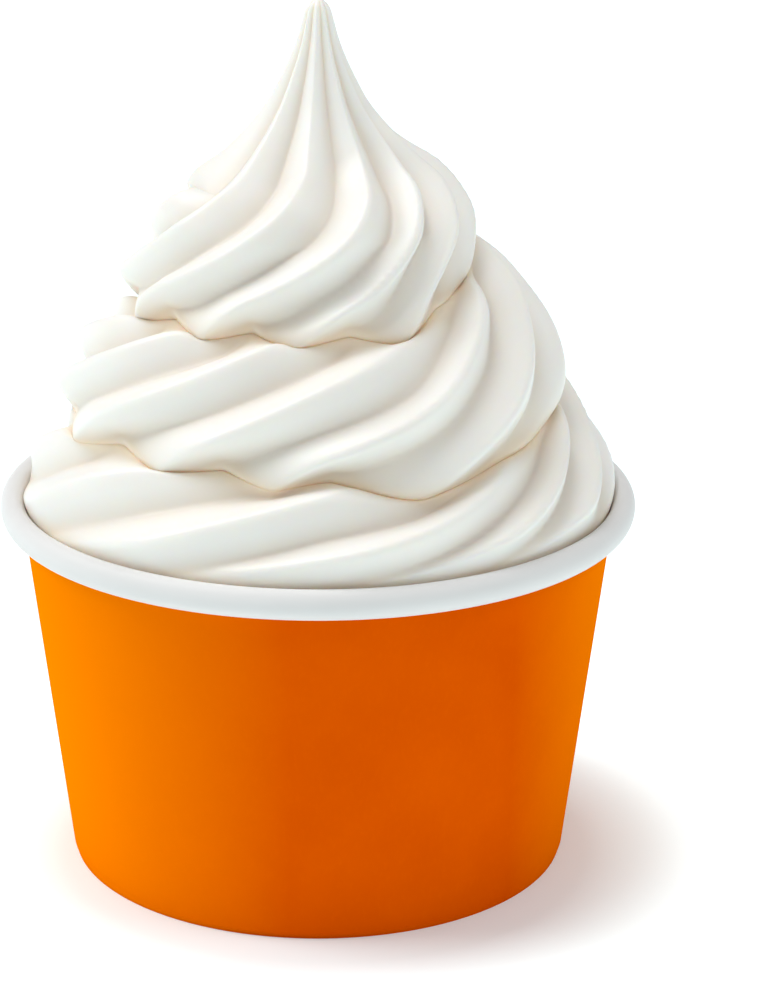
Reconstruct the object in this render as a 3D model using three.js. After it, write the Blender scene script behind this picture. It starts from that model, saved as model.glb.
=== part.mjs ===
// A paper cup heaped with swirled frozen yogurt.
// Millimetres, +Z up. The cup's axis is the Z axis and the cup stands on Z = 0.
import * as THREE from "three";
import { ParametricGeometry } from "three/addons/geometries/ParametricGeometry.js";
import { mergeVertices } from "three/addons/utils/BufferGeometryUtils.js";

// --- Paper cup -------------------------------------------------------------------------------
const FOOT_RADIUS = 37.7; // outside of the wall at the table
const WALL_TAPER = 0.1235; // radius gained per mm of height
const PAPER = 0.55; // wall thickness
const GAP = 0.3; // clearance between pieces that touch
const RIM_GAP = 0.4; // clearance of the yogurt from the rolled rim
const RIM_SLOPE = 0.3; // outward slope of the yogurt where it rises past the rim
const RIM = { z: 54.9, halfWidth: 1.8, halfHeight: 2.2, paper: 0.5, curlEnd: -125 };
const FOLD = { ply: 0.5, slot: 1.05, height: 5.5, bottom: 0.5, round: 0.25 };
const BASE = { z: 6, thickness: 0.6, skirt: 0.45, skirtEnd: 0.85 };
const CUP_SEGMENTS = 72;

// --- Frozen yogurt ---------------------------------------------------------------------------
// The whole swirl is one strip wound about the axis. Its lower edge is a rising crease, and its
// upper edge is the same crease one turn later. Angles are degrees counter-clockwise from +X, so
// -90 is the front and every 360 is one more turn.
const STRIP_START = -720;
const STRIP_END = 900;
const STRIP_STEP = 3;
const STRIP_ROWS = 7;
const TIP = { z: 130.4, ringZ: 130.1, ringRadius: 0.8 };
const FILL = { shoulderZ: 50.6, wallZ: 48, bottomZ: 6.9 };

// Height of the crease by angle.
const CREASE_HEIGHT = [
  [-360, 52], [-315, 54.2], [-270, 57.6], [-225, 62.5], [-180, 67.2], [-135, 69.2], [-95, 68.8],
  [-68, 67], [-45, 68.2], [0, 73.2], [90, 77.6], [180, 84.5], [225, 86], [270, 86.3],
  [294, 86], [315, 88.2], [360, 93.1], [450, 97.3], [540, 102.7], [630, 108.3], [720, 114],
  [810, 121], [900, 130.1],
];
// Radius of the core, which is the surface through the creases, by height.
const CORE_RADIUS = [
  [40, 42.7], [52, 42.9], [54.5, 43.2], [58, 42], [62, 39.8], [65.7, 37.6], [69.7, 35.5],
  [73.8, 33.6], [78.3, 30.7], [83, 27.3], [86.4, 25.2], [90.4, 22.2], [94.4, 21], [97.8, 20.6],
  [100.9, 19.2], [103.9, 17], [106.8, 13.5], [109.8, 10.7], [112.9, 8.3], [115.7, 6.5],
  [118.6, 5.1], [121.6, 3.8], [124.5, 2.8], [127, 2.15], [128.6, 1.75], [129.5, 1.35],
  [130.1, 0.8],
];
// How far a tier bulges out beyond the core, by the angle of its lower edge.
const BULGE = [
  [-720, 1.4], [-540, 1.9], [-450, 3.7], [-400, 3.5], [-360, 2.4], [-270, 2.6], [-180, 3.8],
  [-90, 4], [0, 4.6], [90, 4], [180, 4.6], [270, 3.5], [360, 1.2], [450, 1], [540, 0.6],
  [600, 0],
];
// Degrees by which the ridges lead from a tier's lower edge to its upper edge.
const LEAD = [
  [-720, 88], [-540, 50], [-450, 77], [-360, 82], [-270, 92], [-180, 81], [-90, 70], [0, 66],
];
const PEAK_LEAD = 66;
// Small shifts of the ridges round the crease, in degrees.
const WANDER = [
  [-540, 26], [-450, 6], [-360, 2.8], [-270, -1.4], [-180, 3.4], [-90, -5.4], [0, 8.2],
  [90, -10], [180, -0.3], [250, -4], [285, 2], [360, -0.7], [450, 0],
];
// The valleys between the ridges, where they meet the crease.
const VALLEYS = [-183, -143.3, -108.2, -81.5, -46.3, 3.4, 36.8, 70.2, 103.6, 137, 177];
const RIDGE_DEPTH = 3.6;
const ROUNDING = 0.98; // 0 gives round ridges and valleys, 1 sharp ones
const CREASE_WAVE = 1.6;
const CREASE_FADE = { start: 430, length: 150 }; // where the crease melts into the peak
const FLOW = 0.9; // how far a crest's foot runs on into the tier below
const PRESSED = { depth: 0.2, z: 54.5, height: 8 }; // ridges pressed flat by the cup's wall

const MATERIALS = {
  printedPaper: () => new THREE.MeshStandardMaterial({ color: 0xf78c12, roughness: 0.45 }),
  plainPaper: () => new THREE.MeshStandardMaterial({ color: 0xeeeae2, roughness: 0.7 }),
  yogurt: () => new THREE.MeshStandardMaterial({ color: 0xf2ece1, roughness: 0.5 }),
};

// A smooth curve through [x, y] pairs that never overshoots them, flat beyond both ends.
function smoothTable(table) {
  const x = table.map((p) => p[0]);
  const y = table.map((p) => p[1]);
  const last = x.length - 1;
  const width = x.slice(1).map((v, i) => v - x[i]);
  const secant = width.map((w, i) => (y[i + 1] - y[i]) / w);
  const slope = x.map((_, i) => {
    if (i === 0) return secant[0];
    if (i === last) return secant[last - 1];
    if (secant[i - 1] * secant[i] <= 0) return 0;
    const a = 2 * width[i] + width[i - 1];
    const b = width[i] + 2 * width[i - 1];
    return (a + b) / (a / secant[i - 1] + b / secant[i]);
  });
  return (at) => {
    if (at <= x[0]) return y[0];
    if (at >= x[last]) return y[last];
    const i = x.findIndex((v) => v > at) - 1;
    const u = (at - x[i]) / width[i];
    const rise = y[i + 1] - y[i];
    const start = width[i] * slope[i];
    const end = width[i] * slope[i + 1];
    return y[i] + u * (start + u * (3 * rise - 2 * start - end + u * (start + end - 2 * rise)));
  };
}

const clamp01 = (v) => THREE.MathUtils.clamp(v, 0, 1);
const ease = (v) => THREE.MathUtils.smoothstep(v, 0, 1);
const creaseHeight = smoothTable(CREASE_HEIGHT);
const coreRadius = smoothTable(CORE_RADIUS);
const bulgeOf = smoothTable(BULGE);
const leadOf = smoothTable(LEAD);
const wander = smoothTable(WANDER);

// Strength of the crease: 1 on the tiers and 0 on the peak.
const creaseStrength = (t) => 1 - ease((t - CREASE_FADE.start) / CREASE_FADE.length);

const innerRadius = (z) => FOOT_RADIUS - PAPER + WALL_TAPER * z;
const rimRadius = innerRadius(RIM.z) + RIM.halfWidth;

// The widest the yogurt may be at a height, so that it clears the wall and the rolled rim.
function widest(z) {
  const besideRim = rimRadius - RIM.halfWidth - RIM_GAP + RIM_SLOPE * (z - RIM.z);
  return Math.min(innerRadius(z) - GAP, besideRim);
}

// 1 near -25 degrees, where a tier hangs over the one below, and 0 on the other side.
const overhang = (t) => (0.5 + 0.5 * Math.cos(THREE.MathUtils.degToRad(t + 25))) ** 6;

// Ridge profile round the axis: 0 in a valley and 1 on a crest, with flat faces between them.
// It is the arc cosine of a nearly full cosine wave, so both corners are slightly rounded.
function ridge(angle) {
  const a = THREE.MathUtils.euclideanModulo(angle - VALLEYS[0], 360) + VALLEYS[0];
  const i = VALLEYS.findLastIndex((v) => v <= a);
  const wave = Math.cos((2 * Math.PI * (a - VALLEYS[i])) / (VALLEYS[i + 1] - VALLEYS[i]));
  const low = Math.acos(ROUNDING);
  return (Math.acos(ROUNDING * wave) - low) / (Math.PI - 2 * low);
}

// Lead of the ridges at a tier's lower edge, and at height fraction s of the tier.
const footLead = (t) => PEAK_LEAD * (1 - creaseStrength(t)) + wander(t);
const leadShare = (t, s) => 1 - (1 - s) ** (1 + 0.54 * clamp01((t - 90) / 90));
function ridgeLead(t, s) {
  const mix = ease((t - 90) / 90);
  const top = (leadOf(t) + wander(Math.min(t, 90))) * (1 - mix) + PEAK_LEAD * mix;
  const foot = footLead(t);
  return foot + (top - foot) * leadShare(t, s);
}

const ridgeDepth = (r) => RIDGE_DEPTH * Math.min(1, r / 18);

// Unit normal (r, z) of a curve that climbs by dr, dz.
function normalOf(dr, dz) {
  return new THREE.Vector2(dz, -dr).normalize();
}

// The crease at angle t as (r, z). It dips under each crest of the tier above it.
function creasePoint(t) {
  if (t >= STRIP_END) return new THREE.Vector2(TIP.ringRadius, TIP.ringZ);
  const z = creaseHeight(t);
  const point = new THREE.Vector2(coreRadius(z), z);
  const strength = creaseStrength(t);
  const height = ridge(t - footLead(t));
  const calm = 1 - 0.2 * overhang(t);
  const wave = CREASE_WAVE * strength * calm * (height - 0.5) * ease((t + 360) / 60);
  const lift = ridgeDepth(point.x) * (height - 0.6) * (1 - strength) * ease((STRIP_END - t) / 60);
  const normal = normalOf(coreRadius(z + 0.5) - coreRadius(z - 0.5), 1);
  point.add(new THREE.Vector2(1.4 * wave * (1 - overhang(t)), -0.9 * wave));
  point.addScaledVector(normal, lift);
  point.x = Math.min(point.x, widest(point.y));
  return point;
}

// The tier's rounded section at angle t, height fraction s, without its ridges, as (r, z). Its
// bulge fades at both edges where a crest runs on from one tier to the next.
function tierSection(t, s) {
  const low = creaseHeight(t);
  const high = creaseHeight(t + 360);
  const z = low + (high - low) * s;
  const strength = creaseStrength(t);
  const above = creaseStrength(t + 360);
  const a = 0.5 * strength + 2 * (1 - strength);
  const b = 0.5 * above + 1.5 * (1 - above);
  const peak = a / (a + b);
  const round = (s ** a * (1 - s) ** b) / (peak ** a * (1 - peak) ** b);
  const flow = FLOW * (1 - overhang(t));
  const intoLow = 1 - strength * flow * ridge(t - footLead(t)) * Math.exp(-s / 0.1);
  const intoHigh = 1 - above * flow * ridge(t - footLead(t + 360)) * Math.exp(-(1 - s) / 0.1);
  const amount = bulgeOf(t) * strength * round * intoLow * intoHigh * ease((high - low) / 9);
  const normal = normalOf(coreRadius(high) - coreRadius(low), high - low + 1e-9);
  return new THREE.Vector2(coreRadius(z), z).addScaledVector(normal, amount);
}

// A point of the swirl: the tier's section, pushed in and out by the ridges, with both edges
// drawn onto the crease.
function swirlPoint(t, s) {
  if (s === 0) return creasePoint(t);
  if (s === 1) return creasePoint(t + 360);
  const rib = (at) => {
    const section = tierSection(t, at);
    const before = tierSection(t, Math.max(at - 0.002, 0));
    const after = tierSection(t, Math.min(at + 0.002, 1));
    const fromLow = 1 - creaseStrength(t) * Math.exp(-at / 0.04);
    const fromHigh = 1 - creaseStrength(t + 360) * Math.exp(-(1 - at) / 0.04);
    const width = ease((creaseHeight(t + 360) - creaseHeight(t)) / 9);
    const depth = ridgeDepth(section.x) * (ridge(t - ridgeLead(t, at)) - 0.6);
    const clear = ease((section.y - PRESSED.z) / PRESSED.height);
    const pressed = PRESSED.depth + (1 - PRESSED.depth) * clear;
    const normal = normalOf(after.x - before.x, after.y - before.y);
    return section.addScaledVector(normal, depth * fromLow * fromHigh * width * pressed);
  };
  const point = rib(s);
  const toLow = creasePoint(t).sub(rib(0));
  const toHigh = creasePoint(t + 360).sub(rib(1));
  point.addScaledVector(toLow, clamp01(1 - s / 0.25) ** 2);
  point.addScaledVector(toHigh, clamp01(1 - (1 - s) / 0.15) ** 2);
  point.x = THREE.MathUtils.clamp(point.x, 0, widest(point.y));
  return point;
}

// Puts (r, z) at angle t. Whole turns give the same point to the last digit.
function place(point, t, target) {
  const a = THREE.MathUtils.degToRad(THREE.MathUtils.euclideanModulo(t, 360));
  target.set(point.x * Math.cos(a), point.x * Math.sin(a), point.y);
}

// A surface over columns and rows. Each of its points is [section point, angle].
function woven(columns, rows, pointAt) {
  const at = (u, v, target) => place(...pointAt(Math.round(u * columns), Math.round(v * rows)), target);
  return new ParametricGeometry(at, columns, rows);
}

// One turn of a fixed section.
function turned(section) {
  const at = (column, row) => [section[row], column * STRIP_STEP];
  return woven(360 / STRIP_STEP, section.length - 1, at);
}

// The strip's columns, as [angle on the lower edge, angle on the upper edge] in whole steps. They
// run along the ridges, so the upper angle is ahead by the ridges' lead.
function stripColumns() {
  const columns = [[STRIP_START, STRIP_START]];
  let top = STRIP_START;
  for (let low = STRIP_START; low <= STRIP_END; low += STRIP_STEP) {
    const lead = ridgeLead(low + PEAK_LEAD, 1) - footLead(low);
    const aim = Math.min(STRIP_END, STRIP_STEP * Math.round((low + lead) / STRIP_STEP));
    do {
      if (top < aim) top += STRIP_STEP;
      columns.push([low, top]);
    } while (top < aim);
  }
  return columns;
}

// One closed body from geometries whose edges meet: points joined, collapsed triangles dropped.
function closedBody(geometries) {
  const positions = geometries.flatMap((g) => Array.from(g.toNonIndexed().attributes.position.array));
  const soup = new THREE.BufferGeometry();
  soup.setAttribute("position", new THREE.Float32BufferAttribute(positions, 3));
  const body = mergeVertices(soup, 1e-3);
  const index = Array.from(body.index.array);
  const kept = [];
  for (let i = 0; i < index.length; i += 3) {
    const [a, b, c] = index.slice(i, i + 3);
    if (a !== b && b !== c && c !== a) kept.push(a, b, c);
  }
  body.setIndex(kept);
  body.computeVertexNormals();
  return body;
}

// Revolves (r, z) points, listed with the outside on their right, about the Z axis.
function revolved(points) {
  return closedBody([new THREE.LatheGeometry(points, CUP_SEGMENTS).rotateX(Math.PI / 2)]);
}

// Points of an ellipse about the rim's centre, from one angle to another in degrees.
function rimArc(inset, from, to, count) {
  return Array.from({ length: count }, (_, i) => {
    const a = THREE.MathUtils.degToRad(from + ((to - from) * i) / (count - 1));
    const r = rimRadius + (RIM.halfWidth - inset) * Math.cos(a);
    return new THREE.Vector2(r, RIM.z + (RIM.halfHeight - inset) * Math.sin(a));
  });
}

// Side wall of one sheet: folded under and up at the foot, rolled outward at the rim.
function cupSidewall() {
  const at = (z, inward) => new THREE.Vector2(innerRadius(z) - inward, z);
  const plyOutside = FOLD.slot;
  const plyInside = FOLD.slot + FOLD.ply;
  const points = [
    at(FOLD.round, plyInside),
    at(0, plyInside - FOLD.round),
    at(0, FOLD.round - PAPER),
    at(FOLD.round, -PAPER),
    at(RIM.z - 1, -PAPER),
    ...rimArc(RIM.paper, 165, RIM.curlEnd, 8),
    ...rimArc(0, RIM.curlEnd, 180, 12),
    at(FOLD.bottom, 0),
    at(FOLD.bottom, plyOutside),
    at(FOLD.height, plyOutside),
    at(FOLD.height, plyInside),
  ];
  return revolved([...points, points[0]]);
}

// Bottom disc with its skirt, which hangs in the slot of the folded foot.
function cupBase() {
  const top = BASE.z + BASE.thickness;
  const at = (z, inward) => new THREE.Vector2(innerRadius(z) - inward, z);
  return revolved([
    new THREE.Vector2(0, BASE.z),
    at(BASE.z, GAP + BASE.skirt),
    at(BASE.skirtEnd, GAP + BASE.skirt),
    at(BASE.skirtEnd, GAP),
    at(top, GAP),
    new THREE.Vector2(0, top),
  ]);
}

// The yogurt: swirl, the small cap on its tip, and the fill below it down to the bottom disc.
function frozenYogurt() {
  const columns = stripColumns();
  const swirl = woven(columns.length - 1, STRIP_ROWS, (column, row) => {
    const [low, top] = columns[column];
    if (row === 0) return [swirlPoint(low, 0), low];
    if (row === STRIP_ROWS) return [swirlPoint(top, 1), top];
    const s = (1 - Math.cos((Math.PI * row) / STRIP_ROWS)) / 2;
    const t = low + (top - low) * leadShare(low, s);
    return [swirlPoint(t, s), t];
  });
  const fill = turned([
    new THREE.Vector2(0, FILL.bottomZ),
    new THREE.Vector2(innerRadius(FILL.bottomZ) - GAP, FILL.bottomZ),
    new THREE.Vector2(innerRadius(FILL.wallZ) - GAP, FILL.wallZ),
    new THREE.Vector2(innerRadius(FILL.shoulderZ) - 2 * GAP, FILL.shoulderZ),
    creasePoint(STRIP_START),
  ]);
  const cap = turned([creasePoint(STRIP_END), new THREE.Vector2(0, TIP.z)]);
  return closedBody([swirl, fill, cap]);
}

function named(name, geometry, material) {
  const mesh = new THREE.Mesh(geometry, material);
  mesh.name = name;
  return mesh;
}

const cup = new THREE.Group();
cup.name = "frozen_yogurt_cup";
cup.add(
  named("cup_sidewall", cupSidewall(), MATERIALS.printedPaper()),
  named("cup_base", cupBase(), MATERIALS.plainPaper()),
  named("frozen_yogurt", frozenYogurt(), MATERIALS.yogurt()),
);

export default cup;
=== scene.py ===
"""A paper cup heaped with swirled frozen yogurt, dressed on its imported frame.

Lengths in the constants are millimetres, and the cup's axis is the Z axis. Angles are degrees
counter-clockwise from +X, seen from above, so -90 is the front of the cup.

The yogurt is one strip wound about the axis. Its lower edge is a crease that climbs as it goes
round, and its upper edge is the same crease one turn later, so each turn is one tier.
"""

import math

import bpy
import numpy as np
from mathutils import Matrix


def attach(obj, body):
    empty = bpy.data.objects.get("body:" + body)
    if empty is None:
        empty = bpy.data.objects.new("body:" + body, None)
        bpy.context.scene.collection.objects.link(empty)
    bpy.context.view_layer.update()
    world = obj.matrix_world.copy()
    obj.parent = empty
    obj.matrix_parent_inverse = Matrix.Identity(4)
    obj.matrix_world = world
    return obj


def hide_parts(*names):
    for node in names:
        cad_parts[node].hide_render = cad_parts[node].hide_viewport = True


bl_info = {
    "name": "Frozen Yogurt Cup",
    "version": (1, 0, 0),
    "blender": (4, 5, 0),
    "location": "View3D > Sidebar > Yogurt Cup",
    "description": "Builds a paper cup with a swirl of frozen yogurt, and its studio",
    "category": "Object",
}

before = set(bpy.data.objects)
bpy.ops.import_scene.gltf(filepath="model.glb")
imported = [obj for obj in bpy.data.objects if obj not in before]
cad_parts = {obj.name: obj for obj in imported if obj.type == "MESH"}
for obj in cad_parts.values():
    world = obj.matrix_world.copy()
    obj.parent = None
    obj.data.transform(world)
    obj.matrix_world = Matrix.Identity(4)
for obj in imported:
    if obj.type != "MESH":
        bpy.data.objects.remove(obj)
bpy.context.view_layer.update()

MM = 0.001


# --- Swirl -----------------------------------------------------------------------------------

# Height of the crease that winds up the swirl, by angle. Every 360 is one more turn.
CREASE_HEIGHT = [
    (-360, 52), (-315, 54.2), (-270, 57.6), (-225, 62.5), (-180, 67.2), (-135, 69.2), (-95, 68.8),
    (-68, 67), (-45, 68.2), (0, 73.2), (90, 77.6), (180, 84.5), (225, 86), (270, 86.3),
    (294, 86), (315, 88.2), (360, 93.1), (450, 97.3), (540, 102.7), (630, 108.3), (720, 114),
    (810, 121), (900, 130.1),
]
# Radius of the core, which is the surface through the creases, by height.
CORE_RADIUS = [
    (40, 43.2), (52, 43.4), (54.5, 43.4), (58, 42), (62, 39.8), (65.7, 37.6), (69.7, 35.5),
    (73.8, 33.6), (78.3, 30.7), (83, 27.3), (86.4, 25.2), (90.4, 22.2), (94.4, 21),
    (97.8, 20.6), (100.9, 19.2), (103.9, 17), (106.8, 13.5), (109.8, 10.7), (112.9, 8.3),
    (115.7, 6.5), (118.6, 5.1), (121.6, 3.8), (124.5, 2.8), (127, 2.15), (128.6, 1.75),
    (129.5, 1.35), (130.1, 0.8),
]
# How far a tier bulges out beyond the core, by the angle of its lower edge.
BULGE = [
    (-720, 1.4), (-540, 1.9), (-450, 3.7), (-400, 3.5), (-360, 2.4), (-270, 2.6), (-180, 3.8),
    (-90, 4), (0, 4.6), (90, 4), (180, 4.6), (270, 3.5), (360, 1.2), (450, 1), (540, 0.6),
    (600, 0),
]
# Degrees by which the ridges lead from a tier's lower edge to its upper edge.
LEAD = [
    (-720, 88), (-540, 50), (-450, 77), (-360, 82), (-270, 92), (-180, 81), (-90, 70), (0, 66),
]
# Small shifts of the ridges round the crease, in degrees.
WANDER = [
    (-540, 26), (-450, 6), (-360, 2.8), (-270, -1.4), (-180, 3.4), (-90, -5.4), (0, 8.2),
    (90, -10), (180, -0.3), (250, -4), (285, 2), (360, -0.7), (450, 0),
]
# The valleys between the ridges, where they meet the crease.
VALLEYS = np.array([-183, -143.3, -108.2, -81.5, -46.3, 3.4, 36.8, 70.2, 103.6, 137, 177])
# First and last angle of the strip.
STRIP_START, STRIP_END = -720, 900
# The crease melts into the peak from this angle on, over this length.
FADE_START, FADE_LENGTH = 430, 150
# The ridges' lead turns into the twist of the peak from this angle on, over this length, and
# then bows by this much between a tier's lower and upper edge.
TWIST_START, TWIST_LENGTH, TWIST_BOW = 90, 90, 0.54
# The crease starts to wave at this angle. The wave eases in, and the ridges at the strip's end
# ease out, over this length.
WAVE_START, WAVE_EASE = -360, 60
# How far the wave moves the crease outward and down.
WAVE_OUT, WAVE_DOWN = 1.4, 0.9
# Angle where a tier hangs furthest over the one below, how fast that fades to both sides, and
# the share by which it calms the crease's wave.
OVERHANG_ANGLE, OVERHANG_POWER, OVERHANG_CALM = -25, 6, 0.2
# Powers of the bulge at the edges of a tier, and at the lower and upper edge in the peak.
TIER_POWER, PEAK_LOW_POWER, PEAK_HIGH_POWER = 0.5, 2, 1.5
# Height of a tier from which its bulge and its ridges have their full size.
FULL_TIER = 9
# Radius from which the ridges have their full depth, and the share of it that is cut inward.
FULL_RADIUS, CUT_SHARE = 18, 0.6
# How sharp the ridges are, where 1 gives true corners.
ROUNDING = 0.98
# How much a crest flattens the bulge beside a crease, and over what share of the tier.
FLOW, FLOW_REACH = 0.9, 0.1
# Share of a tier beside a crease over which the ridges set in.
RIDGE_REACH = 0.04
# Share of a tier that is drawn along where its lower and its upper edge move to the crease.
PULL_LOW, PULL_HIGH = 0.25, 0.15
# Step along a section that measures its slope, and along the core's height.
SECTION_STEP, CORE_STEP = 0.002, 0.5
# Near the rim the ridges keep this share of their depth, and get the rest back from this
# height on, over this height.
PRESSED_DEPTH, PRESSED_Z, PRESSED_HEIGHT = 0.2, 54.5, 8
# The ring that closes the tip, and the heights of the rings of the fill in the cup.
TIP_RING_RADIUS, TIP_RING_Z = 0.8, 130.1
FILL_SHOULDER_Z, FILL_WALL_Z, FILL_BOTTOM_Z = 50.6, 48.0, 6.9
# Space between the yogurt and the wall, and between it and the rolled rim, and how softly the
# swirl bends where it meets that limit.
GAP, RIM_GAP, PRESS_ROUNDING = 0.3, 0.12, 0.5
# Radius by which the limit flares, beyond the wall's taper, per unit of height in the rim.
SPREAD = 0.13
# Strength of the painted shade in the valleys, reach of a crease as a share of its tier, and how
# fast its painted glow fades.
VALLEY_SHADE, CREASE_REACH, CREASE_POWER = 0.6, 0.05, 2.5
# The painted glow just above the rim, which lightens the yogurt where the rim shades it: its upper
# end, the height over which it grows, its strength.
CONTACT_Z, CONTACT_HEIGHT, CONTACT_GLOW = 59.0, 3.0, 0.6

# --- Cup -------------------------------------------------------------------------------------

# The folded foot: width of the slot that holds the bottom disc's skirt, thickness of the ply
# behind it, height of the slot's floor, and rounding of the corners from there to the outside.
SLOT_WIDTH, FOLDED_PLY, SLOT_FLOOR = 1.05, 0.5, 0.5
FOOT_ROUNDING = (0.1, 0.15, 0.15, 0.4, 0.35)
# Height where the straight outside starts, and how far below the rim's centre it and the
# inside end.
OUTSIDE_START, OUTSIDE_END, INSIDE_END = 1.0, 1.2, 1
# Angles in the rolled rim's section: where its hollow starts at the wall, the paper's free
# edge, and where its outside meets the inside of the wall.
ROLL_START, ROLL_EDGE, ROLL_END = 165, -125, 180
# Points along the outside, the roll's hollow, the roll's outside and the inside.
OUTSIDE_POINTS, HOLLOW_POINTS, ROLL_POINTS, INSIDE_POINTS = 24, 24, 44, 20
# The glued side seam: its angle, how far it stands proud, and the wall's mean radius.
SEAM_ANGLE, SEAM_PROUD, MEAN_RADIUS = 90, 0.22, 40
# Degrees by which the seam's edge reaches past the lap, and over which it slopes.
SEAM_MARGIN, SEAM_SLOPE = 1.0, 1.2
# Heights where the seam starts and ends, and the heights over which it grows and fades.
SEAM_START, SEAM_START_RAMP, SEAM_END, SEAM_END_RAMP = 0.3, 0.8, 52.2, 1.5

# --- Finish and studio -----------------------------------------------------------------------

# The middle range of a noise, for soft clouds and for fine grain.
CLOUD_RANGE, GRAIN_RANGE = (0.35, 0.7), (0.3, 0.7)
# The stretches across the cup over which painted light turns the print yellower, at the left and
# the right.
LEFT_LIGHT_STRETCH, RIGHT_LIGHT_STRETCH = (-42, -4), (28, 49)
# Colours of shaded spots, as parts of the plain colour: print, coated and plain board, yogurt.
PRINT_SHADE, COATED_SHADE = (0.93, 0.86, 1.0), (0.965, 0.965, 0.965)
BOARD_SHADE, YOGURT_SHADE = (0.93, 0.91, 0.87), (0.97, 0.97, 0.97)
# Colour of the floor's paler spots, as parts of its plain colour.
FLOOR_PALER = (1.01, 1.01, 1.01)
# The floor's glow, which paints a shadow at the foot and paints out the shadow in a ring around it:
# the point from which it is measured, and the distances over which it changes from the foot's to
# the ring's, and from the ring's to the plain floor's.
GLOW_CENTRE, GLOW_TO_RING, GLOW_TO_FLOOR = (1, -5, 0), (40, 56), (75, 110)
# Half the floor's side and the height of the lights, in metres.
FLOOR_REACH, LIGHT_HEIGHT = 4.0, 0.8
# Height of the camera's sensor.
SENSOR_HEIGHT = 36


# --- Settings --------------------------------------------------------------------------------


def length(name, description, default_mm):
    """A length property, whose default is given in millimetres."""
    return bpy.props.FloatProperty(
        name=name, description=description, default=default_mm * MM, unit="LENGTH", precision=5
    )


def angle(name, description, default_degrees):
    """An angle property, whose default is given in degrees."""
    return bpy.props.FloatProperty(
        name=name, description=description, default=math.radians(default_degrees), unit="ROTATION"
    )


def scalar(name, description, default):
    """A property that is a plain number."""
    return bpy.props.FloatProperty(name=name, description=description, default=default)


def color(name, description, default):
    """A colour property."""
    return bpy.props.FloatVectorProperty(
        name=name, description=description, default=default, size=3, subtype="COLOR", min=0, max=1
    )


class PaperCupSettings(bpy.types.PropertyGroup):
    """Sizes and colours of the cup"""

    foot_radius: length("Foot radius", "Outside of the wall at the table", 37.7)
    paper: length("Paper", "Thickness of the side wall", 0.55)
    rim_height: length("Rim height", "Height of the rolled rim's centre", 54.9)
    rim_half_width: length("Rim half width", "Half the rolled rim's width", 1.8)
    rim_half_height: length("Rim half height", "Half the rolled rim's height", 2.2)
    rim_paper: length("Rim paper", "Thickness of the paper in the rolled rim", 0.5)
    fold_height: length("Fold height", "Height of the folded ply at the foot", 5.5)
    lap_width: length("Lap width", "Width of the glued side seam", 8.0)
    taper: scalar("Taper", "Radius gained per unit of height", 0.1235)
    print_color: color("Printed paper", "Colour of the printed outside", (0.765, 0.1, 0.0))
    # Painted light: a yellower, brighter print colour at both sides, where the light falls on the
    # cup.
    painted_side_light: color("Painted light at the sides", "Yellower print colour painted where light falls at both sides", (1.0, 0.25, 0.0))
    fibre_color: color("Print on fibres", "Colour of the print on raised fibres", (0.85, 0.14, 0.0))
    paper_color: color("Plain paper", "Colour of the rim and the inside", (0.77, 0.765, 0.757))


class YogurtSettings(bpy.types.PropertyGroup):
    """Sizes and colours of the yogurt"""

    ridge_depth: length("Ridge depth", "Depth from crest to valley", 3.6)
    crease_wave: length("Crease wave", "How far the crease dips under each crest", 1.6)
    tip_height: length("Tip height", "Height of the peak above the table", 130.4)
    peak_lead: angle("Peak twist", "Turn of the ridges between the top crease and the tip", 66)
    columns: bpy.props.IntProperty(
        name="Columns per turn", description="Columns in one turn of the swirl", default=360
    )
    rows: bpy.props.IntProperty(
        name="Rows per tier", description="Rows between one crease and the next", default=40
    )
    cream_color: color("Yogurt", "Colour of the yogurt", (0.88, 0.865, 0.825))
    # Painted shade: a darker, warmer colour painted deep in the grooves and beside the creases.
    groove_shade_color: color("Grooves", "Painted warm shade deep in the grooves", (0.74, 0.62, 0.47))
    # Painted glow: a brighter, warm colour painted at the creases and just above the rim.
    crease_glow_color: color("Creases", "Glow where one tier meets the next", (0.95, 0.79, 0.6))


class StudioSettings(bpy.types.PropertyGroup):
    """Camera, lights and floor"""

    camera_distance: length("Camera distance", "From the aim point to the camera", 500.0)
    aim_height: length("Aim height", "Height the camera looks at", 55.45)
    camera_pitch: angle("Camera pitch", "Angle of the camera above the horizon", 18.9)
    lens: scalar("Lens", "Focal length for a 36 mm tall sensor", 121.28)
    shift: scalar("Shift", "Sideways shift of the lens", 0.0709)
    key_strength: scalar("Key light", "Strength of the key light", 1.05)
    key_tilt: angle("Key tilt", "Angle of the key light from straight overhead", 48)
    key_turn: angle("Key turn", "Turn of the key light, 0 at the front and -90 at the left", -95)
    top_strength: scalar("Top light", "Strength of the top light", 1.1)
    top_tilt: angle("Top tilt", "Angle of the top light from straight overhead", 17)
    fill_strength: scalar("Fill light", "Strength of the fill light", 0.5)
    fill_turn: angle("Fill turn", "Turn of the fill light, 0 at the front and 90 at the right", 75)
    softness: angle("Softness", "Angle that each light fills, seen from the cup", 30)
    ambient: scalar("Ambient", "Strength of the surrounding light", 0.44)
    floor_glow: scalar("Floor glow", "Light that the plain floor gives off by itself", 0.3)
    # Painted shadow and light: the low glow at the foot paints a darker shadow, the high glow in
    # the ring paints out the cast shadow.
    foot_shadow_glow: scalar("Foot glow", "Floor glow close to the cup's foot", 0.15)
    ring_glow: scalar("Ring glow", "Floor glow in a ring a few centimetres from the foot", 0.52)
    glow_color: color("Glow", "Colour of the floor's glow", (0.88, 1.0, 1.0))
    floor_color: color("Floor", "Colour of the floor", (0.8, 0.9, 0.92))


# --- Surfaces --------------------------------------------------------------------------------


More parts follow.
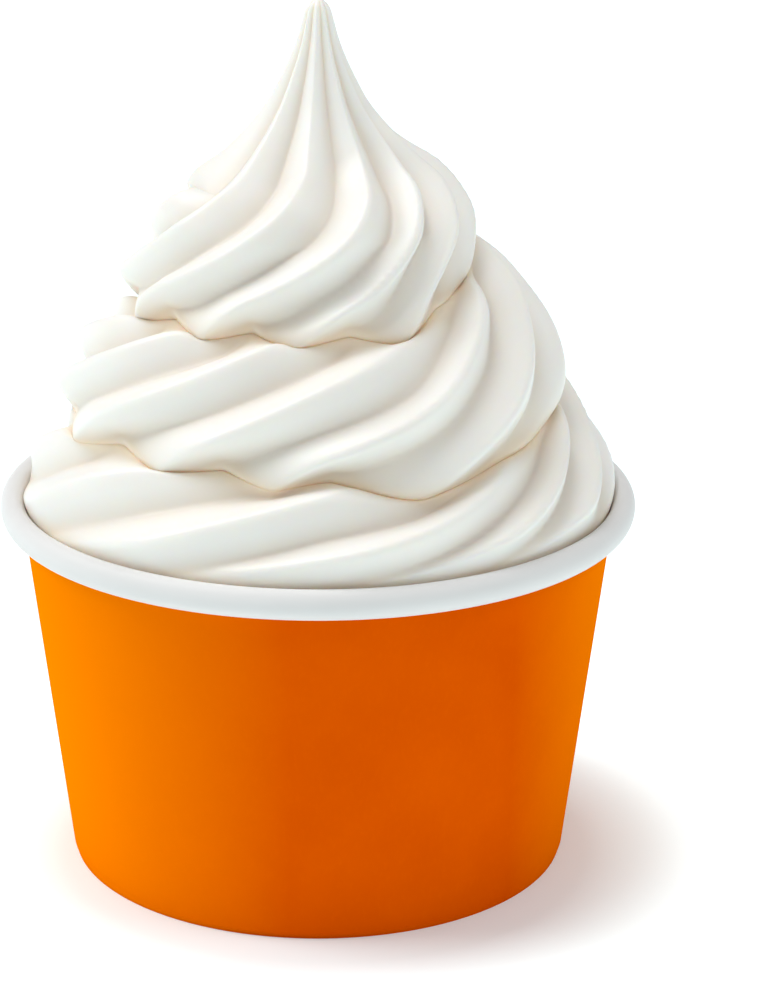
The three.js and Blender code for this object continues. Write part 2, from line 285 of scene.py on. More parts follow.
def smooth_table(pairs):
    """A function that follows a smooth curve through (x, y) pairs and never overshoots them.

    Each stretch is a cubic whose end slopes are the weighted harmonic means of the slopes of
    the two stretches beside each point, and 0 where those change sign.
    """
    x, y = np.array(pairs, float).T
    width = np.diff(x)
    secant = np.diff(y) / width
    a = 2 * width[1:] + width[:-1]
    b = width[1:] + 2 * width[:-1]
    same = secant[:-1] * secant[1:] > 0
    low, high = np.where(same, secant[:-1], 1), np.where(same, secant[1:], 1)
    inner = np.where(same, (a + b) / (a / low + b / high), 0)
    slope = np.concatenate([secant[:1], inner, secant[-1:]])

    def curve(at):
        at = np.clip(at, x[0], x[-1])
        i = np.clip(np.searchsorted(x, at, side="right") - 1, 0, len(width) - 1)
        u = (at - x[i]) / width[i]
        rise = y[i + 1] - y[i]
        start, end = width[i] * slope[i], width[i] * slope[i + 1]
        return y[i] + u * (start + u * (3 * rise - 2 * start - end + u * (start + end - 2 * rise)))

    return curve


def ease(v):
    """A smooth step: v squared times 3 - 2v, with v held between 0 and 1."""
    v = np.clip(v, 0, 1)
    return v * v * (3 - 2 * v)


# The core's radius is a function of height, and the others are functions of angle.
crease_height = smooth_table(CREASE_HEIGHT)
core_radius = smooth_table(CORE_RADIUS)
bulge_of = smooth_table(BULGE)
lead_of = smooth_table(LEAD)
wander = smooth_table(WANDER)


def crease_strength(t):
    """1 on the tiers, easing to 0 where the crease melts into the peak."""
    return 1 - ease((t - FADE_START) / FADE_LENGTH)


def overhang(t):
    """1 where a tier hangs furthest over the one below, falling to 0 on the other side.

    It is a power of half of 1 plus the cosine of the angle from there.
    """
    return (0.5 + 0.5 * np.cos(np.radians(t - OVERHANG_ANGLE))) ** OVERHANG_POWER


def ridge(at):
    """Ridge profile round the axis: flat faces from valley to crest, both slightly rounded.

    It is the arc cosine of a nearly full cosine wave, which is a triangle wave whose corners
    are rounder the smaller ROUNDING is.
    """
    a = np.mod(at - VALLEYS[0], 360) + VALLEYS[0]
    i = np.clip(np.searchsorted(VALLEYS, a, side="right") - 1, 0, len(VALLEYS) - 2)
    wave = np.cos(2 * np.pi * (a - VALLEYS[i]) / (VALLEYS[i + 1] - VALLEYS[i]))
    low = math.acos(ROUNDING)
    return (np.arccos(ROUNDING * wave) - low) / (math.pi - 2 * low)


class CupForm:
    """Sizes of the cup in millimetres, read from the settings."""

    def __init__(self, cup):
        self.foot = cup.foot_radius / MM
        self.paper = cup.paper / MM
        self.taper = cup.taper
        self.rim_z = cup.rim_height / MM
        self.half_width = cup.rim_half_width / MM
        self.half_height = cup.rim_half_height / MM
        self.rim_paper = cup.rim_paper / MM
        self.fold_height = cup.fold_height / MM
        self.lap_width = cup.lap_width / MM
        self.rim_radius = self.inner(self.rim_z) + self.half_width

    def inner(self, z):
        """Radius of the wall's inner face at a height."""
        return self.foot - self.paper + self.taper * z

    def widest(self, z):
        """The widest the yogurt may be at a height, clear of the wall and the rolled rim.

        It is the smaller of two radii: the wall's, which flares from the rim's centre up, and
        the inner side of the rim's elliptical roll.
        """
        rise = np.clip((z - self.rim_z) / self.half_height, 0, 1)
        beside_rim = self.rim_radius - self.half_width * np.sqrt(1 - rise**2)
        flared = self.inner(z) + SPREAD * np.maximum(z - self.rim_z, 0)
        return np.minimum(flared, beside_rim) - RIM_GAP


class SwirlForm:
    """The swirl as a surface of two parameters: angle t and height fraction s of a tier."""

    def __init__(self, yogurt, cup_form):
        self.depth = yogurt.ridge_depth / MM
        self.wave = yogurt.crease_wave / MM
        self.peak_lead = math.degrees(yogurt.peak_lead)
        self.tip_z = yogurt.tip_height / MM
        self.cup = cup_form

    def foot_lead(self, t):
        """Angle by which the ridges lead on a tier's lower edge."""
        return self.peak_lead * (1 - crease_strength(t)) + wander(t)

    def ridge_lead(self, t, s):
        """Angle by which the ridges lead at s, bowed from the lower edge's to the upper's."""
        upper = np.clip((t - TWIST_START) / TWIST_LENGTH, 0, 1)
        mix = ease(upper)
        top = (lead_of(t) + wander(np.minimum(t, TWIST_START))) * (1 - mix) + self.peak_lead * mix
        foot = self.foot_lead(t)
        return foot + (top - foot) * (1 - (1 - s) ** (1 + TWIST_BOW * upper))

    def ridge_depth(self, r):
        """Depth of the ridges at a radius, in proportion to it near the axis."""
        return self.depth * np.minimum(1, r / FULL_RADIUS)

    def crease(self, t):
        """The crease as (r, z): on the core, dipping under each crest of the tier above.

        In the peak it has no wave, and is moved along the core's normal as the ridges are.
        """
        z = crease_height(t)
        r = core_radius(z)
        strength, over = crease_strength(t), overhang(t)
        height = ridge(t - self.foot_lead(t))
        wave = self.wave * strength * (1 - OVERHANG_CALM * over) * (height - 0.5)
        wave = wave * ease((t - WAVE_START) / WAVE_EASE)
        lift = self.ridge_depth(r) * (height - CUT_SHARE) * (1 - strength)
        lift = lift * ease((STRIP_END - t) / WAVE_EASE)
        climb = core_radius(z + CORE_STEP) - core_radius(z - CORE_STEP)
        size = np.hypot(climb, 2 * CORE_STEP)
        r = r + WAVE_OUT * wave * (1 - over) + lift / size
        z = z - WAVE_DOWN * wave - lift * climb / size
        tip = t >= STRIP_END
        return np.where(tip, TIP_RING_RADIUS, r), np.where(tip, TIP_RING_Z, z)

    def section(self, t, s):
        """The tier's rounded section without ridges: the core, plus a bulge s^a (1-s)^b."""
        low, high = crease_height(t), crease_height(t + 360)
        z = low + (high - low) * s
        strength, above = crease_strength(t), crease_strength(t + 360)
        a = TIER_POWER * strength + PEAK_LOW_POWER * (1 - strength)
        b = TIER_POWER * above + PEAK_HIGH_POWER * (1 - above)
        peak = a / (a + b)
        swell = (s**a * (1 - s) ** b) / (peak**a * (1 - peak) ** b)
        flow = FLOW * (1 - overhang(t))
        crest = ridge(t - self.foot_lead(t))
        swell = swell * (1 - strength * flow * crest * np.exp(-s / FLOW_REACH))
        crest = ridge(t - self.foot_lead(t + 360))
        swell = swell * (1 - above * flow * crest * np.exp(-(1 - s) / FLOW_REACH))
        amount = bulge_of(t) * strength * swell * ease((high - low) / FULL_TIER)
        # The small addend keeps the division possible where the strip has no height.
        dr, dz = core_radius(high) - core_radius(low), high - low + 1e-9
        size = np.hypot(dr, dz)
        return core_radius(z) + amount * dz / size, z - amount * dr / size

    def ribbed(self, t, s):
        """The section pushed out on the crests and in on the valleys, along its normal."""
        r, z = self.section(t, s)
        r0, z0 = self.section(t, np.maximum(s - SECTION_STEP, 0))
        r1, z1 = self.section(t, np.minimum(s + SECTION_STEP, 1))
        size = np.hypot(r1 - r0, z1 - z0) + 1e-12
        from_low = 1 - crease_strength(t) * np.exp(-s / RIDGE_REACH)
        from_high = 1 - crease_strength(t + 360) * np.exp(-(1 - s) / RIDGE_REACH)
        width = ease((crease_height(t + 360) - crease_height(t)) / FULL_TIER)
        push = self.ridge_depth(r) * (ridge(t - self.ridge_lead(t, s)) - CUT_SHARE)
        pressed = PRESSED_DEPTH + (1 - PRESSED_DEPTH) * ease((z - PRESSED_Z) / PRESSED_HEIGHT)
        push = push * from_low * from_high * width * pressed
        return r + push * (z1 - z0) / size, z - push * (r1 - r0) / size

    def point(self, t, s):
        """The ribbed tier with both edges drawn onto the crease, kept clear of the cup."""
        r, z = self.ribbed(t, s)
        for edge, target, weight in (
            (0.0, self.crease(t), np.clip(1 - s / PULL_LOW, 0, 1) ** 2),
            (1.0, self.crease(t + 360), np.clip(1 - (1 - s) / PULL_HIGH, 0, 1) ** 2),
        ):
            edge_r, edge_z = self.ribbed(t, np.full_like(s, edge))
            r = r + (target[0] - edge_r) * weight
            z = z + (target[1] - edge_z) * weight
        return self.clear(r, z), z

    def clear(self, r, z):
        """Radius r held inside the cup by a rounded minimum of r and the widest allowed."""
        limit = self.cup.widest(z)
        return np.maximum(0, (r + limit - np.hypot(r - limit, PRESS_ROUNDING)) / 2)


def turned(r, z, t):
    """Points at radius r and height z on the half-plane at angle t, in metres."""
    a = np.radians(np.mod(t, 360))
    return np.stack([r * np.cos(a), r * np.sin(a), z], -1) * MM


def level_ring(radius, height, t):
    """A level ring of points at the angles t, in metres."""
    return turned(np.full_like(t, radius), np.full_like(t, height), t)


def mesh_object(name, points, quads, triangles=None, smooth=True):
    """A mesh object from an array of points and arrays of corner numbers."""
    mesh = bpy.data.meshes.new(name)
    parts = [np.asarray(quads, np.int32).reshape(-1, 4)]
    loops = parts[0].ravel()
    sizes = np.full(len(parts[0]), 4, np.int32)
    if triangles is not None:
        tri = np.asarray(triangles, np.int32).reshape(-1, 3)
        loops = np.concatenate([loops, tri.ravel()])
        sizes = np.concatenate([sizes, np.full(len(tri), 3, np.int32)])
    mesh.vertices.add(len(points))
    mesh.vertices.foreach_set("co", np.asarray(points, np.float32).ravel())
    mesh.loops.add(len(loops))
    mesh.loops.foreach_set("vertex_index", loops.astype(np.int32))
    mesh.polygons.add(len(sizes))
    starts = np.concatenate([[0], np.cumsum(sizes)[:-1]]).astype(np.int32)
    mesh.polygons.foreach_set("loop_start", starts)
    mesh.polygons.foreach_set("use_smooth", np.full(len(sizes), smooth))
    mesh.update(calc_edges=True)
    if mesh.validate():
        raise RuntimeError(name + " had faults in its mesh")
    made = bpy.data.objects.new(name, mesh)
    bpy.context.scene.collection.objects.link(made)
    return made


def add_attribute(made, name, values):
    """Gives each point of the mesh a value that materials can read by name."""
    layer = made.data.attributes.new(name, "FLOAT", "POINT")
    layer.data.foreach_set("value", np.asarray(values, np.float32))


def rounded(points, radius, steps=4, most=0.45):
    """A closed outline with each corner replaced by a short curve.

    The curve runs from a point on the side before the corner to one on the side after it,
    as a quadratic curve drawn toward the corner. It takes at most the share most of a side.
    """
    p = np.asarray(points, float)
    radius = np.broadcast_to(radius, len(p))[:, None]
    before, after = np.roll(p, 1, 0) - p, np.roll(p, -1, 0) - p
    reach_in = np.linalg.norm(before, axis=1, keepdims=True)
    reach_out = np.linalg.norm(after, axis=1, keepdims=True)
    a = p + before / reach_in * np.minimum(radius, most * reach_in)
    b = p + after / reach_out * np.minimum(radius, most * reach_out)
    u = np.linspace(0, 1, steps)[None, :, None]
    curve = (1 - u) ** 2 * a[:, None] + 2 * u * (1 - u) * p[:, None] + u**2 * b[:, None]
    return curve.reshape(-1, 2)


def strip_numbers(t, columns, rows):
    """Point numbers of the strip's grid with the crease above it, and of the tip's ring.

    The upper edge of each column is the lower edge of the column one turn later, and on the
    last turn it is the ring. The first column shrinks to its own upper edge, and the last one
    to a point of the ring.
    """
    number = np.arange(len(t) * rows).reshape(len(t), rows)
    tip_ring = number.size + np.arange(columns)
    place = np.round(np.mod(t[-columns:], 360) * columns / 360).astype(int) % columns
    number[0], number[-1] = number[columns, 0], tip_ring[place[-1]]
    upper = np.concatenate([number[columns:, 0], tip_ring[place]])
    return np.concatenate([number, upper[:, None]], 1), tip_ring


def painted_shade_and_glow(form, t, s, z):
    """Groove and crease value of each point, both from 0 to 1.

    The groove value is painted shade: it grows with the square of the depth below the crests. The
    crease value is a painted warm glow. Both grow toward the creases as an exponential of the
    distance, and the crease value also grows at the rim, where the rim shades the yogurt.
    """
    depth = 1 - ridge(t - form.ridge_lead(t, s))
    low = crease_strength(t) * np.exp(-s / CREASE_REACH)
    high = crease_strength(t + 360) * np.exp(-(1 - s) / CREASE_REACH)
    groove_shade = np.clip(VALLEY_SHADE * depth**2 + low + high, 0, 1)
    contact = CONTACT_GLOW * ease((CONTACT_Z - z) / CONTACT_HEIGHT)
    crease = np.maximum(np.clip(low + high, 0, 1) ** CREASE_POWER, contact)
    return np.stack([groove_shade.ravel(), crease.ravel()], 1)


def swirl_mesh(form, columns, rows):
    """Points, faces and painted shade and glow values of the closed yogurt body.

    The strip's grid is t by s, with s spaced as (1 - cos) / 2. Its last row is the first row
    one turn later. A cap closes the tip, and rings close the fill below the first turn.
    """
    count = columns * (STRIP_END - STRIP_START) // 360
    t = np.linspace(STRIP_START, STRIP_END, count + 1)
    s = (1 - np.cos(np.pi * np.arange(rows) / rows)) / 2
    grid_t, grid_s = np.meshgrid(t, s, indexing="ij")
    r, z = form.point(grid_t, grid_s)
    edge_r, edge_z = form.crease(t)
    r[:, 0], z[:, 0] = form.clear(edge_r, edge_z), edge_z
    strip = turned(r, z, grid_t).reshape(-1, 3)
    tip_t = np.arange(columns) * 360.0 / columns
    tip_points = level_ring(TIP_RING_RADIUS, TIP_RING_Z, tip_t)
    levels = (FILL_BOTTOM_Z, FILL_WALL_Z, FILL_SHOULDER_Z)
    fill = [level_ring(form.cup.inner(level) - GAP, level, t[:columns]) for level in levels]
    ends = np.array([[0, 0, FILL_BOTTOM_Z * MM], [0, 0, form.tip_z * MM]])
    points = np.concatenate([strip, tip_points, *fill, ends])

    full, tip_ring = strip_numbers(t, columns, rows)
    corners = [full[:-1, :-1], full[1:, :-1], full[1:, 1:], full[:-1, 1:]]
    quads, tris = without_collapsed(np.stack(corners, -1).reshape(-1, 4))
    fill_size = len(levels) * columns
    fill_number = tip_ring[-1] + 1 + np.arange(fill_size).reshape(-1, columns)
    stack = np.concatenate([fill_number, full[None, :columns, 0]])
    beside = np.roll(stack, -1, 1)
    fill_quads = np.stack([stack[:-1], beside[:-1], beside[1:], stack[1:]], -1).reshape(-1, 4)
    centre, tip = np.full((2, columns), len(points)) - [[2], [1]]
    floor_tris = np.stack([centre, beside[0], stack[0]], -1)
    cap_tris = np.stack([tip_ring, np.roll(tip_ring, -1), tip], -1)

    closing = np.concatenate([np.zeros(columns), np.ones(fill_size), [1, 0]])
    shade_and_glow = np.concatenate([painted_shade_and_glow(form, grid_t, grid_s, z), closing[:, None].repeat(2, 1)])
    quads = np.concatenate([quads, fill_quads])
    return points, quads, np.concatenate([tris, floor_tris, cap_tris]), shade_and_glow


def without_collapsed(quads):
    """Splits off the four-cornered faces that have two equal corners, as triangles."""
    same = quads == np.roll(quads, -1, 1)
    repeats = same.sum(1)
    one = quads[repeats == 1]
    keep = ~(one == np.roll(one, -1, 1))
    tris = one[keep].reshape(-1, 3)
    return quads[repeats == 0], tris


def without_loose(points, quads, tris, shade_and_glow):
    """Drops the points that no face uses."""
    used = np.zeros(len(points), bool)
    used[quads.ravel()] = True
    used[tris.ravel()] = True
    renumber = np.cumsum(used) - 1
    return points[used], renumber[quads], renumber[tris], shade_and_glow[used]


def sidewall_outline(form):
    """The side wall's closed section as (r, z), and 1 at its printed points.

    It runs from the slot over the folded ply and under the foot, up the outside, through the
    hollow of the rolled rim, back over its outside and down the inside to the slot's floor.
    The roll's section is an ellipse.
    """
    inner = form.inner

    def arc(inset, start, end, count):
        a = np.radians(np.linspace(start, end, count))
        r = form.rim_radius + (form.half_width - inset) * np.cos(a)
        return np.stack([r, form.rim_z + (form.half_height - inset) * np.sin(a)], 1)

    ply_inside = SLOT_WIDTH + FOLDED_PLY
    foot = rounded(
        [
            [inner(0) - SLOT_WIDTH, SLOT_FLOOR],
            [inner(form.fold_height) - SLOT_WIDTH, form.fold_height],
            [inner(form.fold_height) - ply_inside, form.fold_height],
            [inner(0) - ply_inside, 0.0],
            [inner(0) + form.paper, 0.0],
        ],
        FOOT_ROUNDING,
    )
    outside_z = np.linspace(OUTSIDE_START, form.rim_z - OUTSIDE_END, OUTSIDE_POINTS)
    outside = np.stack([inner(outside_z) + form.paper, outside_z], 1)
    hollow = arc(form.rim_paper, ROLL_START, ROLL_EDGE, HOLLOW_POINTS)
    roll = arc(0, ROLL_EDGE, ROLL_END, ROLL_POINTS)
    inside_z = np.linspace(form.rim_z - INSIDE_END, SLOT_FLOOR, INSIDE_POINTS)
    inside = np.stack([inner(inside_z), inside_z], 1)
    outline = np.concatenate([foot, outside, hollow, roll, inside])
    side = np.linalg.norm(np.diff(outline, axis=0, append=outline[:1]), axis=1)
    if (side < 1e-6).any():
        raise RuntimeError("the side wall's outline repeats a point")
    printed = np.zeros(len(outline))
    printed[len(foot) - 2 : len(foot) + len(outside)] = 1
    return outline, printed


def sidewall_mesh(form, columns=288):
    """Points, faces and print mask of the side wall: its outline turned about the axis.

    The glued side seam stands a little proud of the printed outside over the lap's width.
    """
    outline, printed = sidewall_outline(form)
    height = outline[:, 1]
    t = np.arange(columns) * 360.0 / columns
    from_seam = np.abs(np.mod(t - SEAM_ANGLE + 180, 360) - 180)
    half_lap = math.degrees(form.lap_width / 2 / MEAN_RADIUS)
    lap = ease((half_lap + SEAM_MARGIN - from_seam) / SEAM_SLOPE)
    ramp = np.clip((height - SEAM_START) / SEAM_START_RAMP, 0, 1)
    ramp = ramp * np.clip((SEAM_END - height) / SEAM_END_RAMP, 0, 1)
    r = outline[:, 0] + lap[:, None] * (SEAM_PROUD * ramp * printed)
    z = np.broadcast_to(height, r.shape)
    points = turned(r, z, np.broadcast_to(t[:, None], r.shape)).reshape(-1, 3)
    number = np.arange(r.size).reshape(r.shape)
    east, up = np.roll(number, -1, 0), np.roll(number, -1, 1)
    quads = np.stack([number, east, np.roll(east, -1, 1), up], -1).reshape(-1, 4)
    return points, quads, np.broadcast_to(printed, r.shape).ravel()


# --- Materials -------------------------------------------------------------------------------


def new_material(name):
    """An empty node material with a Principled surface; returns it, its tree and the shader."""
    made = bpy.data.materials.new(name)
    made.use_nodes = True
    tree = made.node_tree
    tree.nodes.clear()
    out = tree.nodes.new("ShaderNodeOutputMaterial")
    shader = tree.nodes.new("ShaderNodeBsdfPrincipled")
    tree.links.new(shader.outputs["BSDF"], out.inputs["Surface"])
    return made, tree, shader


def object_place(tree):
    """The place of each point in Object coordinates."""
    return tree.nodes.new("ShaderNodeTexCoord").outputs["Object"]


def shaded(tone, parts):
    """The colour with each channel multiplied by its part, and held at 1."""
    return tuple(min(1.0, value * part) for value, part in zip(tone, parts))


def noise(tree, scale, detail, roughness, stretch=(1, 1, 1)):
    """Noise on Object coordinates, with scale per metre."""
    mapping = tree.nodes.new("ShaderNodeMapping")
    mapping.inputs["Scale"].default_value = stretch
    made = tree.nodes.new("ShaderNodeTexNoise")
    made.inputs["Scale"].default_value = scale
    made.inputs["Detail"].default_value = detail
    made.inputs["Roughness"].default_value = roughness
    tree.links.new(object_place(tree), mapping.inputs["Vector"])
    tree.links.new(mapping.outputs["Vector"], made.inputs["Vector"])
    return made.outputs["Fac"]


def attribute(tree, name):
    """The value that the mesh holds for each point under this name."""
    made = tree.nodes.new("ShaderNodeAttribute")
    made.attribute_name = name
    return made.outputs["Fac"]


def ranged(tree, value, low, high, to_low, to_high):
    """The value remapped from low..high to to_low..to_high, clamped."""
    made = tree.nodes.new("ShaderNodeMapRange")
    ends = {"From Min": low, "From Max": high, "To Min": to_low, "To Max": to_high}
    for socket, number in ends.items():
        made.inputs[socket].default_value = number
    tree.links.new(value, made.inputs["Value"])
    return made.outputs["Result"]


def maths(tree, operation, a, b):
    """A calculation with two values, each a number or a socket."""
    made = tree.nodes.new("ShaderNodeMath")
    made.operation = operation
    for i, value in enumerate((a, b)):
        if isinstance(value, (int, float)):
            made.inputs[i].default_value = value
        else:
            tree.links.new(value, made.inputs[i])
    return made.outputs[0]


def mixed(tree, factor, a, b):
    """Colour a where the factor is 0 and colour b where it is 1."""
    made = tree.nodes.new("ShaderNodeMix")
    made.data_type = "RGBA"
    sockets = [s for s in made.inputs if s.type == "RGBA"]
    for socket, value in zip(sockets, (a, b)):
        if isinstance(value, (tuple, list)):
            socket.default_value = (*value[:3], 1)
        else:
            tree.links.new(value, socket)
    tree.links.new(factor, made.inputs["Factor"])
    return next(s for s in made.outputs if s.type == "RGBA")


def bumped(tree, shader, height, distance, strength):
    """Gives the shader's surface a fine relief of this height in metres."""
    made = tree.nodes.new("ShaderNodeBump")
    made.inputs["Strength"].default_value = strength
    made.inputs["Distance"].default_value = distance
    tree.links.new(height, made.inputs["Height"])
    tree.links.new(made.outputs["Normal"], shader.inputs["Normal"])


def printed_paperboard(cup):
    """Orange print on the outside, plain coated white elsewhere, with faint paper fibre.

    Painted light: the print is painted yellower toward the cup's left and right side, where the
    light falls on it.
    """
    made, tree, shader = new_material("printed_paperboard")
    fibre = noise(tree, scale=1400, detail=3, roughness=0.6, stretch=(1, 1, 0.5))
    cloud = noise(tree, scale=55, detail=3, roughness=0.55)
    ink, white = tuple(cup.print_color), tuple(cup.paper_color)
    orange = mixed(tree, ranged(tree, cloud, *CLOUD_RANGE, 0, 1), ink, shaded(ink, PRINT_SHADE))
    on_fibre = ranged(tree, fibre, 0.5, 0.75, 0, 0.12)
    orange = mixed(tree, on_fibre, orange, tuple(cup.fibre_color))
    split = tree.nodes.new("ShaderNodeSeparateXYZ")
    tree.links.new(object_place(tree), split.inputs["Vector"])
    # Painted light: the print is mixed toward the yellower side colour at the left and the right.
    left = ranged(tree, split.outputs["X"], *(x * MM for x in LEFT_LIGHT_STRETCH), 1, 0)
    right = ranged(tree, split.outputs["X"], *(x * MM for x in RIGHT_LIGHT_STRETCH), 0, 1)
    orange = mixed(tree, maths(tree, "MAXIMUM", left, right), orange, tuple(cup.painted_side_light))
    plain = mixed(tree, ranged(tree, cloud, *CLOUD_RANGE, 0, 1), white, shaded(white, COATED_SHADE))
    mask = ranged(tree, attribute(tree, "printed"), 0.45, 0.55, 0, 1)
    tree.links.new(mixed(tree, mask, plain, orange), shader.inputs["Base Color"])
    tree.links.new(ranged(tree, fibre, *GRAIN_RANGE, 0.4, 0.52), shader.inputs["Roughness"])
    tree.links.new(ranged(tree, mask, 0, 1, 0.15, 0), shader.inputs["Specular IOR Level"])
    bumped(tree, shader, fibre, distance=0.03 * MM, strength=0.5)
    return made


def plain_paperboard(cup):
    """Uncoated white board of the bottom disc, with visible fibre."""
    made, tree, shader = new_material("plain_paperboard")
    fibre = noise(tree, scale=900, detail=4, roughness=0.65)
    white = tuple(cup.paper_color)
    tone = mixed(tree, ranged(tree, fibre, *CLOUD_RANGE, 0, 1), white, shaded(white, BOARD_SHADE))
    tree.links.new(tone, shader.inputs["Base Color"])
    shader.inputs["Roughness"].default_value = 0.75
    bumped(tree, shader, fibre, distance=0.05 * MM, strength=0.6)
    return made


def yogurt_cream(yogurt):
    """Soft white cream: light sinks in a few millimetres, grooves get a painted warm shade, fine
    ice grain.

    The creases have a painted brighter, warm glow, and let more light in.
    """
    made, tree, shader = new_material("yogurt_cream")
    grain = noise(tree, scale=1500, detail=3, roughness=0.6)
    cloud = noise(tree, scale=70, detail=3, roughness=0.5)
    base = tuple(yogurt.cream_color)
    cloudy = ranged(tree, cloud, *CLOUD_RANGE, 0, 0.5)
    tone = mixed(tree, cloudy, base, shaded(base, YOGURT_SHADE))
    # Painted shade: the darker, warmer groove colour is mixed in deep in the grooves and beside the
    # creases.
    depth = ranged(tree, attribute(tree, "groove_shade"), 0.1, 1, 0, 0.8)
    tone = mixed(tree, depth, tone, tuple(yogurt.groove_shade_color))
    # Painted glow: the brighter, warm crease colour at the creases and just above the rim.
    crease = attribute(tree, "crease")
    tone = mixed(tree, crease, tone, tuple(yogurt.crease_glow_color))
    tree.links.new(tone, shader.inputs["Base Color"])
    tree.links.new(ranged(tree, grain, *GRAIN_RANGE, 0.36, 0.5), shader.inputs["Roughness"])
    tree.links.new(ranged(tree, crease, 0, 1, 0.5, 0.9), shader.inputs["Subsurface Weight"])
    shader.inputs["Subsurface Radius"].default_value = (1.0, 0.72, 0.45)
    shader.inputs["Subsurface Scale"].default_value = 3 * MM
    shader.inputs["Coat Weight"].default_value = 0.15
    shader.inputs["Coat Roughness"].default_value = 0.28
    relief = maths(tree, "ADD", grain, maths(tree, "MULTIPLY", cloud, 6.0))
    bumped(tree, shader, relief, distance=0.03 * MM, strength=0.5)
    return made


def studio_floor(studio):
    """Plain white floor with a barely visible unevenness, and a glow that keeps it pale.

    The glow is painted light and shadow: it is weakest at the cup's foot, where it paints a darker
    shadow, strongest in a ring a few centimetres from it, where it paints out the cast shadow, and
    even beyond, so that the shadow stays soft and close.
    """
    made, tree, shader = new_material("studio_floor")
    cloud = noise(tree, scale=6, detail=2, roughness=0.5)
    tone = tuple(studio.floor_color)
    paler = shaded(tone, FLOOR_PALER)
    tree.links.new(mixed(tree, cloud, tone, paler), shader.inputs["Base Color"])
    shader.inputs["Roughness"].default_value = 0.9
    shader.inputs["Specular IOR Level"].default_value = 0.1
    shader.inputs["Emission Color"].default_value = (*studio.glow_color, 1)
    reach = tree.nodes.new("ShaderNodeVectorMath")
    reach.operation = "DISTANCE"
    reach.inputs[1].default_value = [value * MM for value in GLOW_CENTRE]
    tree.links.new(object_place(tree), reach.inputs[0])
    distance = reach.outputs["Value"]
    foot, ring, plain = studio.foot_shadow_glow, studio.ring_glow, studio.floor_glow
    # Painted shadow and light: the glow dips at the foot and rises in a ring around it.
    to_ring = ranged(tree, distance, *(d * MM for d in GLOW_TO_RING), foot, ring)
    to_floor = ranged(tree, distance, *(d * MM for d in GLOW_TO_FLOOR), 0, ring - plain)
    tree.links.new(maths(tree, "SUBTRACT", to_ring, to_floor), shader.inputs["Emission Strength"])
    return made


# --- Operators -------------------------------------------------------------------------------


def settings(context):
    """The scene's settings of the cup, the yogurt and the studio."""
    scene = context.scene
    return scene.paper_cup, scene.frozen_yogurt, scene.cup_studio


class YOGURT_OT_stage(bpy.types.Operator):
    """Make the floor, the lights and the camera"""

    bl_idname = "yogurt_cup.stage"
    bl_label = "Make the studio"

    def execute(self, context):
        _, _, studio = settings(context)
        corners = np.array([[-1, -1, 0], [1, -1, 0], [1, 1, 0], [-1, 1, 0]]) * FLOOR_REACH
        floor = mesh_object("studio_floor", corners, [[0, 1, 2, 3]], smooth=False)
        floor.data.materials.append(studio_floor(studio))

        world = bpy.data.worlds.new("soft_studio")
        context.scene.world = world
        world.use_nodes = True
        back = world.node_tree.nodes["Background"]
        back.inputs["Color"].default_value = (1, 1, 1, 1)
        back.inputs["Strength"].default_value = studio.ambient

        for name, energy, tilt, turn in (
            ("key_light", studio.key_strength, studio.key_tilt, studio.key_turn),
            ("top_light", studio.top_strength, studio.top_tilt, studio.key_turn),
            ("fill_light", studio.fill_strength, studio.key_tilt, studio.fill_turn),
        ):
            light = bpy.data.lights.new(name, "SUN")
            light.energy = energy
            light.angle = studio.softness
            lit = bpy.data.objects.new(name, light)
            lit.rotation_euler = (tilt, 0, turn)
            lit.location = (0, 0, LIGHT_HEIGHT)
            context.scene.collection.objects.link(lit)

        lens = bpy.data.cameras.new("front_camera")
        lens.sensor_fit = "VERTICAL"
        lens.sensor_height = SENSOR_HEIGHT
        lens.lens = studio.lens
        lens.shift_x = studio.shift
        lens.clip_start = 10 * MM
        camera = bpy.data.objects.new("front_camera", lens)
        pitch, reach = studio.camera_pitch, studio.camera_distance
        camera.location = (0, -reach * math.cos(pitch), studio.aim_height + reach * math.sin(pitch))
        camera.rotation_euler = (math.pi / 2 - pitch, 0, 0)
        context.scene.collection.objects.link(camera)
        context.scene.camera = camera
        context.scene.view_settings.view_transform = "Standard"
        return {"FINISHED"}


class YOGURT_OT_sidewall(bpy.types.Operator):
    """Make the cup's side wall with its rolled rim and folded foot"""

    bl_idname = "yogurt_cup.sidewall"
    bl_label = "Make the side wall"

    def execute(self, context):
        cup, _, _ = settings(context)
        points, quads, printed = sidewall_mesh(CupForm(cup))
        wall = mesh_object("paper_sidewall", points, quads)
        add_attribute(wall, "printed", printed)
        wall.data.materials.append(printed_paperboard(cup))
        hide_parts("cup_sidewall")
        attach(wall, "root")
        return {"FINISHED"}


class YOGURT_OT_base(bpy.types.Operator):
    """Give the cup's bottom disc its board"""

    bl_idname = "yogurt_cup.base"
    bl_label = "Finish the bottom disc"

    def execute(self, context):
        cup, _, _ = settings(context)
        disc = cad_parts["cup_base"]
        disc.data.materials.clear()
        disc.data.materials.append(plain_paperboard(cup))
        return {"FINISHED"}


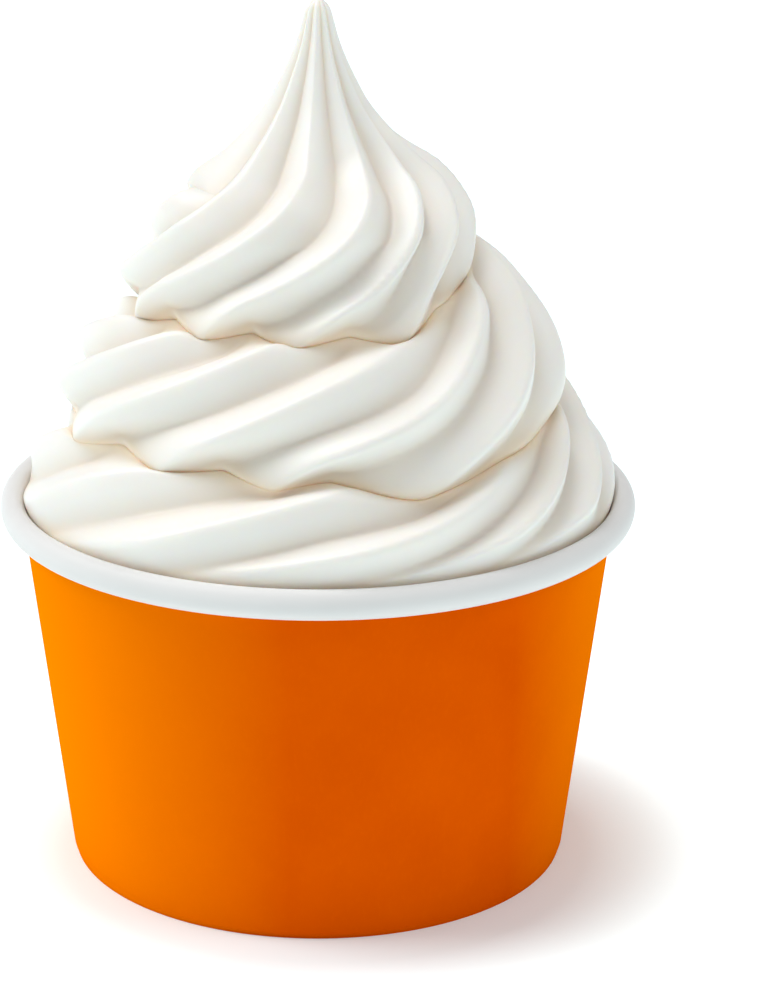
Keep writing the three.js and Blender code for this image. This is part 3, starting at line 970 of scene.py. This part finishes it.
class YOGURT_OT_swirl(bpy.types.Operator):
    """Make the swirled yogurt"""

    bl_idname = "yogurt_cup.swirl"
    bl_label = "Make the yogurt"

    def execute(self, context):
        cup, yogurt, _ = settings(context)
        form = SwirlForm(yogurt, CupForm(cup))
        made = swirl_mesh(form, yogurt.columns, yogurt.rows)
        points, quads, tris, shade_and_glow = without_loose(*made)
        swirl = mesh_object("yogurt_swirl", points, quads, tris)
        add_attribute(swirl, "groove_shade", shade_and_glow[:, 0])
        add_attribute(swirl, "crease", shade_and_glow[:, 1])
        swirl.data.materials.append(yogurt_cream(yogurt))
        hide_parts("frozen_yogurt")
        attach(swirl, "root")
        return {"FINISHED"}


class YOGURT_PT_panel(bpy.types.Panel):
    """Lists the cup's operators"""

    bl_idname = "YOGURT_PT_panel"
    bl_label = "Yogurt Cup"
    bl_space_type = "VIEW_3D"
    bl_region_type = "UI"
    bl_category = "Yogurt Cup"

    def draw(self, context):
        for step in STEPS:
            self.layout.operator(step.bl_idname)
        for group in settings(context):
            box = self.layout.box()
            for name in group.__annotations__:
                box.prop(group, name)


STEPS = (YOGURT_OT_stage, YOGURT_OT_sidewall, YOGURT_OT_base, YOGURT_OT_swirl)
CLASSES = (PaperCupSettings, YogurtSettings, StudioSettings, *STEPS, YOGURT_PT_panel)


def register():
    """Registers the classes and gives the scene its settings."""
    for item in CLASSES:
        bpy.utils.register_class(item)
    bpy.types.Scene.paper_cup = bpy.props.PointerProperty(type=PaperCupSettings)
    bpy.types.Scene.frozen_yogurt = bpy.props.PointerProperty(type=YogurtSettings)
    bpy.types.Scene.cup_studio = bpy.props.PointerProperty(type=StudioSettings)


def unregister():
    """Removes the settings and the classes again."""
    del bpy.types.Scene.paper_cup
    del bpy.types.Scene.frozen_yogurt
    del bpy.types.Scene.cup_studio
    for item in reversed(CLASSES):
        bpy.utils.unregister_class(item)


def main():
    """Makes everything in order."""
    register()
    bpy.ops.yogurt_cup.stage()
    bpy.ops.yogurt_cup.sidewall()
    bpy.ops.yogurt_cup.base()
    bpy.ops.yogurt_cup.swirl()


if __name__ == "__main__":
    main()
